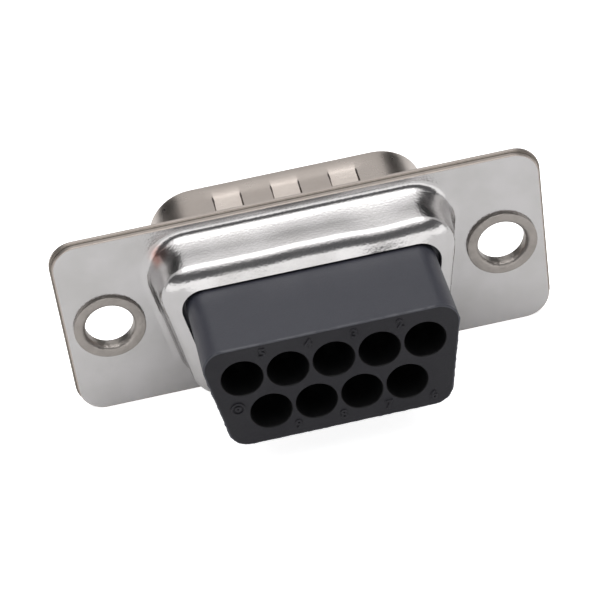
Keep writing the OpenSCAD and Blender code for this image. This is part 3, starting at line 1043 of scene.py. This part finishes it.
def stand_white_card():
    """A low bright strip in front, which the lip and the foot of the collar show."""
    strip = bpy.data.meshes.new("white_card")
    turns, heights = [math.radians(a) for a in range(-80, 81, 10)], (-0.02, 0.125)
    points = [(CARD_REACH * math.sin(a), -CARD_REACH * math.cos(a), h) for h in heights for a in turns]
    strip.from_pydata(points, [], grid_faces(0, len(turns) - 1, 1))
    white, tree = new_material("white_card")
    put_out(tree, add(tree, "ShaderNodeEmission", {"Color": WHITE, "Strength": 1.8}))
    strip.materials.append(white)
    hang_unseen(strip, "white_card")


def hang_softbox(height, size, power):
    """A square soft light straight above the object."""
    lamp = bpy.data.lights.new("top_softbox", "AREA")
    lamp.shape, lamp.size, lamp.size_y, lamp.energy = "RECTANGLE", size, size, power
    obj = linked(lamp, "top_softbox")
    obj.rotation_mode = "QUATERNION"
    obj.rotation_quaternion = Vector((0, 0, -height)).to_track_quat("-Z", "Y")
    obj.location = (0, 0, height)


def paint_room(scene):
    """Pale surroundings, brighter overhead, and white where the camera sees them."""
    world = bpy.data.worlds.new("studio")
    scene.world = world
    world.use_nodes = True
    tree = world.node_tree
    tree.nodes.clear()
    way = add(tree, "ShaderNodeTexCoord").outputs["Generated"]
    height = add(tree, "ShaderNodeSeparateXYZ", {0: way}).outputs["Z"]
    low, high = (math.sin(math.radians(a)) for a in (38, 66))
    level = remap(tree, height, low, high, 0.66, 1.5, "SMOOTHSTEP")
    seen = add(tree, "ShaderNodeLightPath").outputs["Is Camera Ray"]
    room, backdrop = (add(tree, "ShaderNodeBackground", {"Color": WHITE, "Strength": strength}).outputs[0]
                      for strength in (level, 1.0))
    mix = add(tree, "ShaderNodeMixShader", {0: seen, 1: room, 2: backdrop})
    put_out(tree, mix, "ShaderNodeOutputWorld")


def set_camera(scene, st):
    """The camera, turned about the vertical, raised and rolled round the point it aims at."""
    az, el, roll = st.azimuth, st.elevation, st.roll
    back = Vector((math.sin(az) * math.cos(el), -math.cos(az) * math.cos(el), math.sin(el)))
    right = Vector((math.cos(az), math.sin(az), 0))
    up = back.cross(right)
    turned_right = math.cos(roll) * right + math.sin(roll) * up
    turned_up = math.cos(roll) * up - math.sin(roll) * right
    lens = bpy.data.cameras.new("camera")
    lens.sensor_width = 36.0
    lens.lens = st.focal
    lens.clip_start, lens.clip_end = 0.005, 10.0
    camera = linked(lens, "camera")
    turn = Matrix((turned_right, turned_up, back)).transposed().to_4x4()
    camera.matrix_world = Matrix.Translation(Vector(st.aim) + st.distance * back) @ turn
    scene.camera = camera


class CONNECTOR_OT_stage(bpy.types.Operator):
    """Pale floor, soft studio light and the camera"""

    bl_idname = "connector.stage"
    bl_label = "Stage"

    def execute(self, context):
        scene = context.scene
        c, st = scene.connector_colours, scene.connector_stage
        lay_floor(FRONT_LOW.z - st.floor_drop, c.floor)
        hang_cards((c.grey_card, c.black_card))
        hang_softbox(height=0.45, size=0.4, power=0.82)
        stand_white_card()
        paint_room(scene)
        set_camera(scene, st)
        scene.view_settings.view_transform = "Standard"
        return {"FINISHED"}


# ---- add-on


class CONNECTOR_PT_pieces(bpy.types.Panel):
    """Builds the connector piece by piece"""

    bl_label = "D-sub crimp housing"
    bl_space_type = "VIEW_3D"
    bl_region_type = "UI"
    bl_category = "Connector"

    def draw(self, context):
        for operator in PIECES:
            self.layout.operator(operator.bl_idname)
        for group in GROUPS:
            box = self.layout.box()
            settings = getattr(context.scene, group)
            for name in settings.bl_rna.properties.keys():
                if name not in ("rna_type", "name"):
                    box.prop(settings, name)


GROUPS = {"connector_shell": ShellSizes, "connector_insulator": InsulatorSizes,
          "connector_eyelet": EyeletSizes, "connector_colours": FinishColours,
          "connector_stage": StageSettings}
PIECES = [CONNECTOR_OT_front_shell, CONNECTOR_OT_rear_shell, CONNECTOR_OT_front_insulator,
          CONNECTOR_OT_rear_insulator, CONNECTOR_OT_contact_numbers, CONNECTOR_OT_eyelets,
          CONNECTOR_OT_stage]


def register():
    for cls in [*GROUPS.values(), *PIECES, CONNECTOR_PT_pieces]:
        bpy.utils.register_class(cls)
    for name, cls in GROUPS.items():
        setattr(bpy.types.Scene, name, PointerProperty(type=cls))


def unregister():
    for name in GROUPS:
        delattr(bpy.types.Scene, name)
    for cls in reversed([*GROUPS.values(), *PIECES, CONNECTOR_PT_pieces]):
        bpy.utils.unregister_class(cls)


def main():
    register()
    for piece in PIECES:
        getattr(bpy.ops.connector, piece.bl_idname.split(".")[1])()


if __name__ == "__main__":
    main()
